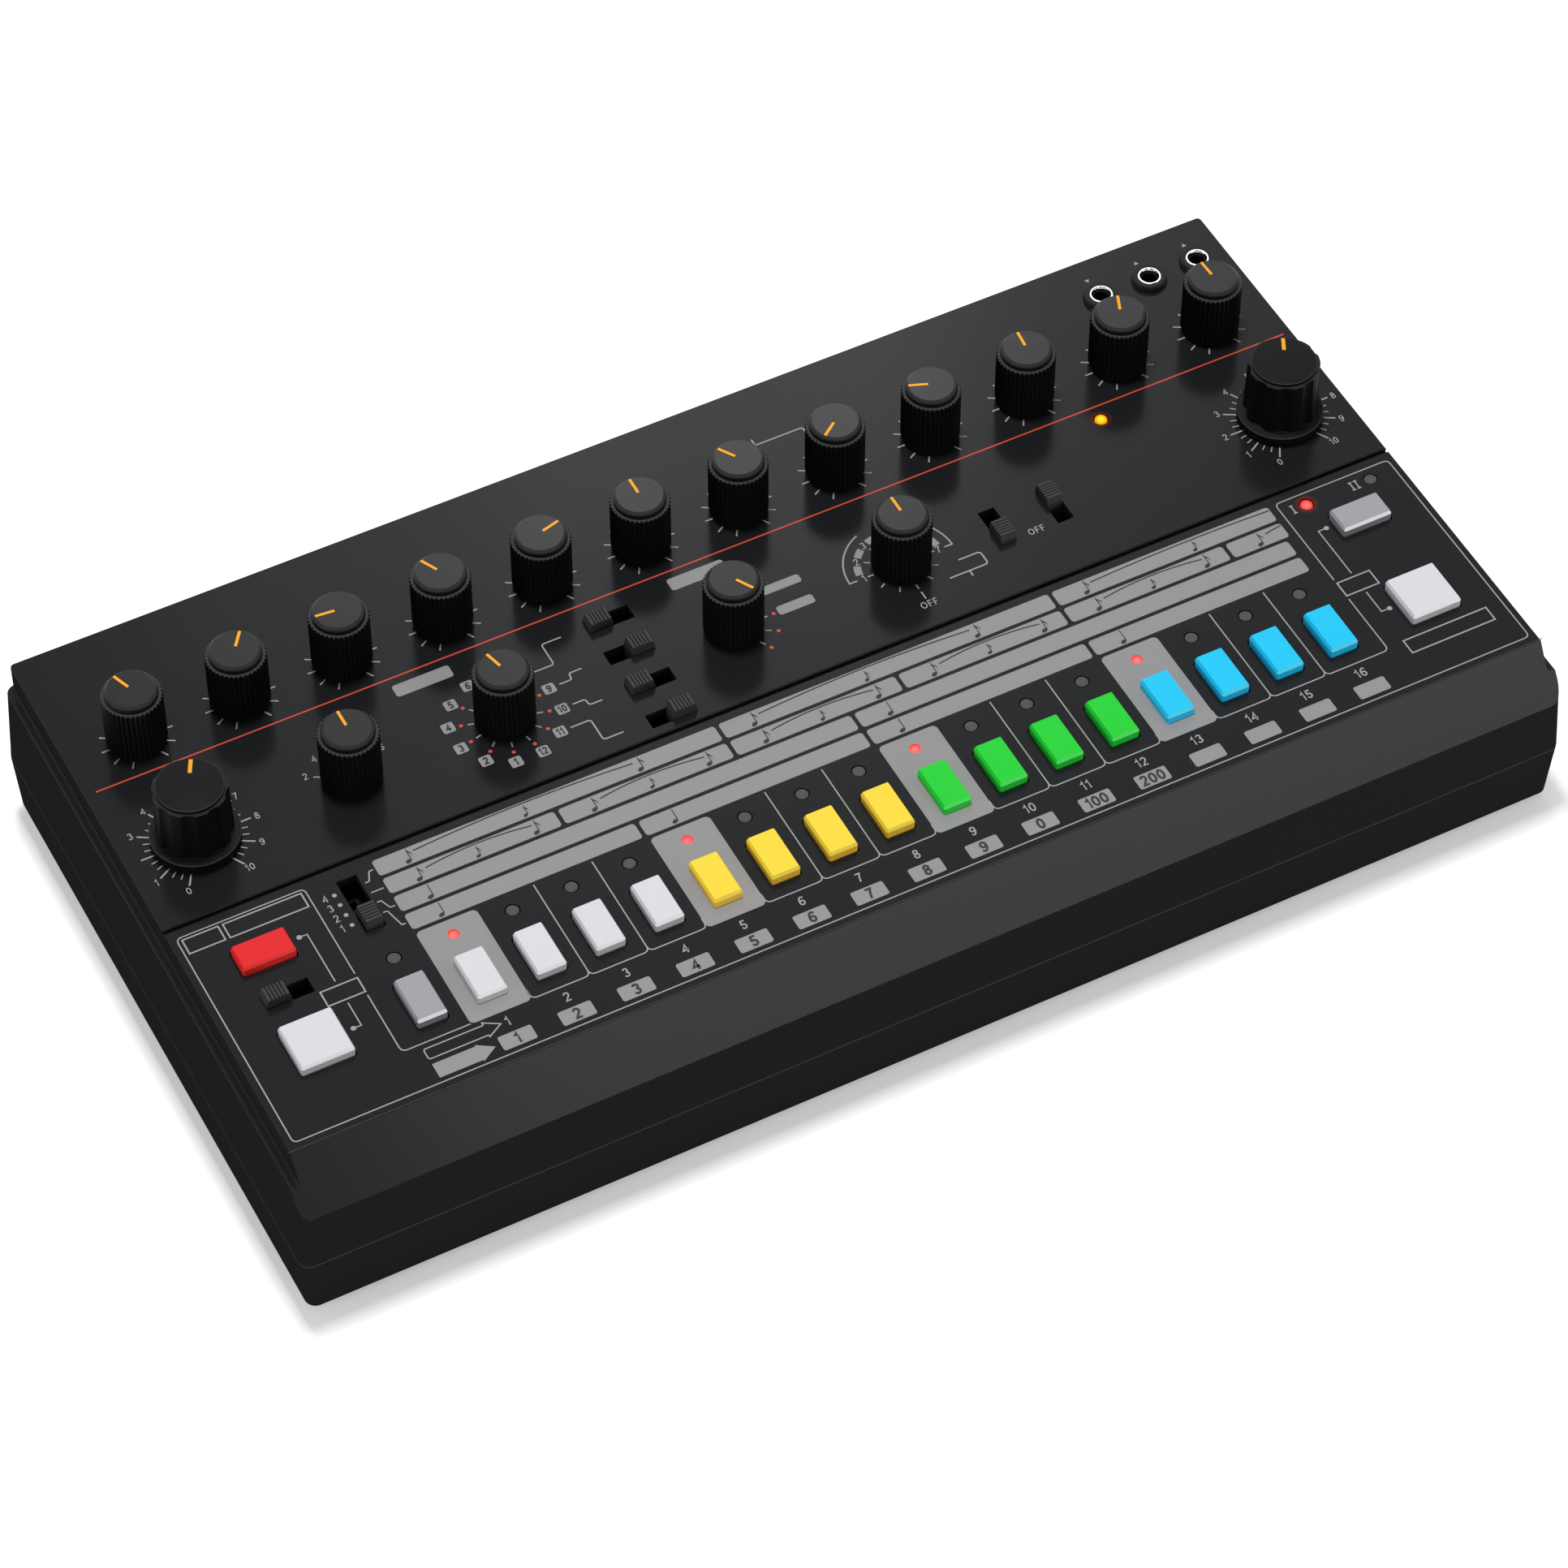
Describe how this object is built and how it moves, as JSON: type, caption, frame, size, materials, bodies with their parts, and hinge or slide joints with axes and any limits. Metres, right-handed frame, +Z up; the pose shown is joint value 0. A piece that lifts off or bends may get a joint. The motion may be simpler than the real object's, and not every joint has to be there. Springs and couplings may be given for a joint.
{
  "type": "drum machine",
  "caption": "Desktop drum machine: low drafted case with a bevelled front, ribbed level and selector knobs, slide switches, a row of coloured step buttons under status lights, and mini jacks.",
  "frame": {"origin": "middle of the footprint, on the surface the rubber feet stand on", "axes": "+X to the player's right along the long side, +Y to the rear, +Z up from the deck"},
  "size_m": [0.306, 0.158, 0.0649],
  "materials": {
    "case_plastic": "fine matte moulding, dark grey",
    "foot_rubber": "black rubber",
    "screw_steel": "zinc-plated steel",
    "board_laminate": "green solder mask",
    "control_metal": "plated control housings",
    "switch_plastic": "black switch housings",
    "light_lens": "tinted clear lens",
    "socket_plastic": "black socket mouldings",
    "knob_plastic": "satin black knobs",
    "slider_plastic": "satin dark grey caps",
    "key_grey": "satin grey key",
    "key_white": "satin white key",
    "key_yellow": "satin yellow key",
    "key_green": "satin green key",
    "key_blue": "satin light blue key",
    "key_red": "satin red key"
  },
  "bodies": {
    "case": {"upper_case": "case_plastic", "lower_case": "case_plastic", "rubber_feet": "foot_rubber", "case_screws": "screw_steel", "board_screws": "screw_steel", "circuit_boards": "board_laminate", "rotary_control_bodies": "control_metal", "slide_switch_bodies": "switch_plastic", "tact_switches": "switch_plastic", "status_lights": "light_lens", "mini_jacks": "socket_plastic", "rear_sockets": "socket_plastic"},
    "level_knob_01": {"level_knob_01": "knob_plastic"},
    "level_knob_02": {"level_knob_02": "knob_plastic"},
    "level_knob_03": {"level_knob_03": "knob_plastic"},
    "level_knob_04": {"level_knob_04": "knob_plastic"},
    "level_knob_05": {"level_knob_05": "knob_plastic"},
    "level_knob_06": {"level_knob_06": "knob_plastic"},
    "level_knob_07": {"level_knob_07": "knob_plastic"},
    "level_knob_08": {"level_knob_08": "knob_plastic"},
    "level_knob_09": {"level_knob_09": "knob_plastic"},
    "level_knob_10": {"level_knob_10": "knob_plastic"},
    "level_knob_11": {"level_knob_11": "knob_plastic"},
    "level_knob_12": {"level_knob_12": "knob_plastic"},
    "measure_selector_knob": {"measure_selector_knob": "knob_plastic"},
    "track_selector_knob": {"track_selector_knob": "knob_plastic"},
    "mode_selector_knob": {"mode_selector_knob": "knob_plastic"},
    "fill_selector_knob": {"fill_selector_knob": "knob_plastic"},
    "tempo_knob": {"tempo_knob": "knob_plastic"},
    "volume_knob": {"volume_knob": "knob_plastic"},
    "function_button": {"function_button": "key_grey"},
    "step_button_01": {"step_button_01": "key_white"},
    "step_button_02": {"step_button_02": "key_white"},
    "step_button_03": {"step_button_03": "key_white"},
    "step_button_04": {"step_button_04": "key_white"},
    "step_button_05": {"step_button_05": "key_yellow"},
    "step_button_06": {"step_button_06": "key_yellow"},
    "step_button_07": {"step_button_07": "key_yellow"},
    "step_button_08": {"step_button_08": "key_yellow"},
    "step_button_09": {"step_button_09": "key_green"},
    "step_button_10": {"step_button_10": "key_green"},
    "step_button_11": {"step_button_11": "key_green"},
    "step_button_12": {"step_button_12": "key_green"},
    "step_button_13": {"step_button_13": "key_blue"},
    "step_button_14": {"step_button_14": "key_blue"},
    "step_button_15": {"step_button_15": "key_blue"},
    "step_button_16": {"step_button_16": "key_blue"},
    "clear_button": {"clear_button": "key_red"},
    "start_button": {"start_button": "key_white"},
    "pattern_button": {"pattern_button": "key_grey"},
    "tap_button": {"tap_button": "key_white"},
    "voice_switch_cap_1": {"voice_switch_cap_1": "slider_plastic"},
    "voice_switch_cap_2": {"voice_switch_cap_2": "slider_plastic"},
    "voice_switch_cap_3": {"voice_switch_cap_3": "slider_plastic"},
    "voice_switch_cap_4": {"voice_switch_cap_4": "slider_plastic"},
    "variation_switch_cap": {"variation_switch_cap": "slider_plastic"},
    "scale_switch_cap": {"scale_switch_cap": "slider_plastic"},
    "fade_in_switch_cap": {"fade_in_switch_cap": "slider_plastic"},
    "fade_out_switch_cap": {"fade_out_switch_cap": "slider_plastic"},
    "power_switch_button": {"power_switch_button": "slider_plastic"}
  },
  "joints": [
    {"name": "level_knob_01_turn", "type": "hinge", "parent": "case", "child": "level_knob_01", "pos_m": [-0.13354, 0.04537, 0.0462], "axis": [0, 0, -1], "range_deg": [-129.3, 170.7]},
    {"name": "level_knob_02_turn", "type": "hinge", "parent": "case", "child": "level_knob_02", "pos_m": [-0.10926, 0.04537, 0.0462], "axis": [0, 0, -1], "range_deg": [-185.9, 114.1]},
    {"name": "level_knob_03_turn", "type": "hinge", "parent": "case", "child": "level_knob_03", "pos_m": [-0.08498, 0.04537, 0.0462], "axis": [0, 0, -1], "range_deg": [-65.9, 234.1]},
    {"name": "level_knob_04_turn", "type": "hinge", "parent": "case", "child": "level_knob_04", "pos_m": [-0.0607, 0.04537, 0.0462], "axis": [0, 0, -1], "range_deg": [-123.3, 176.7]},
    {"name": "level_knob_05_turn", "type": "hinge", "parent": "case", "child": "level_knob_05", "pos_m": [-0.03642, 0.04537, 0.0462], "axis": [0, 0, -1], "range_deg": [-224.8, 75.2]},
    {"name": "level_knob_06_turn", "type": "hinge", "parent": "case", "child": "level_knob_06", "pos_m": [-0.01214, 0.04537, 0.0462], "axis": [0, 0, -1], "range_deg": [-150.7, 149.3]},
    {"name": "level_knob_07_turn", "type": "hinge", "parent": "case", "child": "level_knob_07", "pos_m": [0.01214, 0.04537, 0.0462], "axis": [0, 0, -1], "range_deg": [-117.9, 182.1]},
    {"name": "level_knob_08_turn", "type": "hinge", "parent": "case", "child": "level_knob_08", "pos_m": [0.03642, 0.04537, 0.0462], "axis": [0, 0, -1], "range_deg": [-23.7, 276.3]},
    {"name": "level_knob_09_turn", "type": "hinge", "parent": "case", "child": "level_knob_09", "pos_m": [0.0607, 0.04537, 0.0462], "axis": [0, 0, -1], "range_deg": [-81.5, 218.5]},
    {"name": "level_knob_10_turn", "type": "hinge", "parent": "case", "child": "level_knob_10", "pos_m": [0.08498, 0.04537, 0.0462], "axis": [0, 0, -1], "range_deg": [-156, 144]},
    {"name": "level_knob_11_turn", "type": "hinge", "parent": "case", "child": "level_knob_11", "pos_m": [0.10926, 0.04537, 0.0462], "axis": [0, 0, -1], "range_deg": [-172.5, 127.5]},
    {"name": "level_knob_12_turn", "type": "hinge", "parent": "case", "child": "level_knob_12", "pos_m": [0.13354, 0.04537, 0.0462], "axis": [0, 0, -1], "range_deg": [-148.3, 151.7]},
    {"name": "measure_selector_knob_turn", "type": "hinge", "parent": "case", "child": "measure_selector_knob", "pos_m": [-0.09712, 0.01402, 0.0462], "axis": [0, 0, -1], "range_deg": [-60, 60]},
    {"name": "track_selector_knob_turn", "type": "hinge", "parent": "case", "child": "track_selector_knob", "pos_m": [-0.0607, 0.01402, 0.0462], "axis": [0, 0, -1], "range_deg": [-150, 180]},
    {"name": "mode_selector_knob_turn", "type": "hinge", "parent": "case", "child": "mode_selector_knob", "pos_m": [-0.0052, 0.01402, 0.0462], "axis": [0, 0, -1], "range_deg": [-90, 0]},
    {"name": "fill_selector_knob_turn", "type": "hinge", "parent": "case", "child": "fill_selector_knob", "pos_m": [0.03642, 0.01402, 0.0462], "axis": [0, 0, -1], "range_deg": [-180, 150]},
    {"name": "tempo_knob_turn", "type": "hinge", "parent": "case", "child": "tempo_knob", "pos_m": [-0.13354, 0.01402, 0.0462], "axis": [0, 0, -1], "range_deg": [-176.3, 123.7]},
    {"name": "volume_knob_turn", "type": "hinge", "parent": "case", "child": "volume_knob", "pos_m": [0.13354, 0.01402, 0.0462], "axis": [0, 0, -1], "range_deg": [-177.9, 122.1]},
    {"name": "function_button_press", "type": "slide", "parent": "case", "child": "function_button", "axis": [0, 0, -1], "range_m": [0, 0.001], "stiffness_N_per_m": 800},
    {"name": "step_button_01_press", "type": "slide", "parent": "case", "child": "step_button_01", "axis": [0, 0, -1], "range_m": [0, 0.001], "stiffness_N_per_m": 800},
    {"name": "step_button_02_press", "type": "slide", "parent": "case", "child": "step_button_02", "axis": [0, 0, -1], "range_m": [0, 0.001], "stiffness_N_per_m": 800},
    {"name": "step_button_03_press", "type": "slide", "parent": "case", "child": "step_button_03", "axis": [0, 0, -1], "range_m": [0, 0.001], "stiffness_N_per_m": 800},
    {"name": "step_button_04_press", "type": "slide", "parent": "case", "child": "step_button_04", "axis": [0, 0, -1], "range_m": [0, 0.001], "stiffness_N_per_m": 800},
    {"name": "step_button_05_press", "type": "slide", "parent": "case", "child": "step_button_05", "axis": [0, 0, -1], "range_m": [0, 0.001], "stiffness_N_per_m": 800},
    {"name": "step_button_06_press", "type": "slide", "parent": "case", "child": "step_button_06", "axis": [0, 0, -1], "range_m": [0, 0.001], "stiffness_N_per_m": 800},
    {"name": "step_button_07_press", "type": "slide", "parent": "case", "child": "step_button_07", "axis": [0, 0, -1], "range_m": [0, 0.001], "stiffness_N_per_m": 800},
    {"name": "step_button_08_press", "type": "slide", "parent": "case", "child": "step_button_08", "axis": [0, 0, -1], "range_m": [0, 0.001], "stiffness_N_per_m": 800},
    {"name": "step_button_09_press", "type": "slide", "parent": "case", "child": "step_button_09", "axis": [0, 0, -1], "range_m": [0, 0.001], "stiffness_N_per_m": 800},
    {"name": "step_button_10_press", "type": "slide", "parent": "case", "child": "step_button_10", "axis": [0, 0, -1], "range_m": [0, 0.001], "stiffness_N_per_m": 800},
    {"name": "step_button_11_press", "type": "slide", "parent": "case", "child": "step_button_11", "axis": [0, 0, -1], "range_m": [0, 0.001], "stiffness_N_per_m": 800},
    {"name": "step_button_12_press", "type": "slide", "parent": "case", "child": "step_button_12", "axis": [0, 0, -1], "range_m": [0, 0.001], "stiffness_N_per_m": 800},
    {"name": "step_button_13_press", "type": "slide", "parent": "case", "child": "step_button_13", "axis": [0, 0, -1], "range_m": [0, 0.001], "stiffness_N_per_m": 800},
    {"name": "step_button_14_press", "type": "slide", "parent": "case", "child": "step_button_14", "axis": [0, 0, -1], "range_m": [0, 0.001], "stiffness_N_per_m": 800},
    {"name": "step_button_15_press", "type": "slide", "parent": "case", "child": "step_button_15", "axis": [0, 0, -1], "range_m": [0, 0.001], "stiffness_N_per_m": 800},
    {"name": "step_button_16_press", "type": "slide", "parent": "case", "child": "step_button_16", "axis": [0, 0, -1], "range_m": [0, 0.001], "stiffness_N_per_m": 800},
    {"name": "clear_button_press", "type": "slide", "parent": "case", "child": "clear_button", "axis": [0, 0, -1], "range_m": [0, 0.001], "stiffness_N_per_m": 800},
    {"name": "start_button_press", "type": "slide", "parent": "case", "child": "start_button", "axis": [0, 0, -1], "range_m": [0, 0.001], "stiffness_N_per_m": 800},
    {"name": "pattern_button_press", "type": "slide", "parent": "case", "child": "pattern_button", "axis": [0, 0, -1], "range_m": [0, 0.001], "stiffness_N_per_m": 800},
    {"name": "tap_button_press", "type": "slide", "parent": "case", "child": "tap_button", "axis": [0, 0, -1], "range_m": [0, 0.001], "stiffness_N_per_m": 800},
    {"name": "voice_switch_cap_1_slide", "type": "slide", "parent": "case", "child": "voice_switch_cap_1", "axis": [1, 0, 0], "range_m": [0, 0.005]},
    {"name": "voice_switch_cap_2_slide", "type": "slide", "parent": "case", "child": "voice_switch_cap_2", "axis": [1, 0, 0], "range_m": [-0.005, 0]},
    {"name": "voice_switch_cap_3_slide", "type": "slide", "parent": "case", "child": "voice_switch_cap_3", "axis": [1, 0, 0], "range_m": [0, 0.005]},
    {"name": "voice_switch_cap_4_slide", "type": "slide", "parent": "case", "child": "voice_switch_cap_4", "axis": [1, 0, 0], "range_m": [-0.005, 0]},
    {"name": "variation_switch_cap_slide", "type": "slide", "parent": "case", "child": "variation_switch_cap", "axis": [1, 0, 0], "range_m": [0, 0.005]},
    {"name": "scale_switch_cap_slide", "type": "slide", "parent": "case", "child": "scale_switch_cap", "axis": [0, 1, 0], "range_m": [0, 0.009]},
    {"name": "fade_in_switch_cap_slide", "type": "slide", "parent": "case", "child": "fade_in_switch_cap", "axis": [0, 1, 0], "range_m": [0, 0.005]},
    {"name": "fade_out_switch_cap_slide", "type": "slide", "parent": "case", "child": "fade_out_switch_cap", "axis": [0, 1, 0], "range_m": [-0.005, 0]},
    {"name": "power_switch_press", "type": "slide", "parent": "case", "child": "power_switch_button", "axis": [0, -1, 0], "range_m": [0, 0.0015], "stiffness_N_per_m": 800}
  ]
}
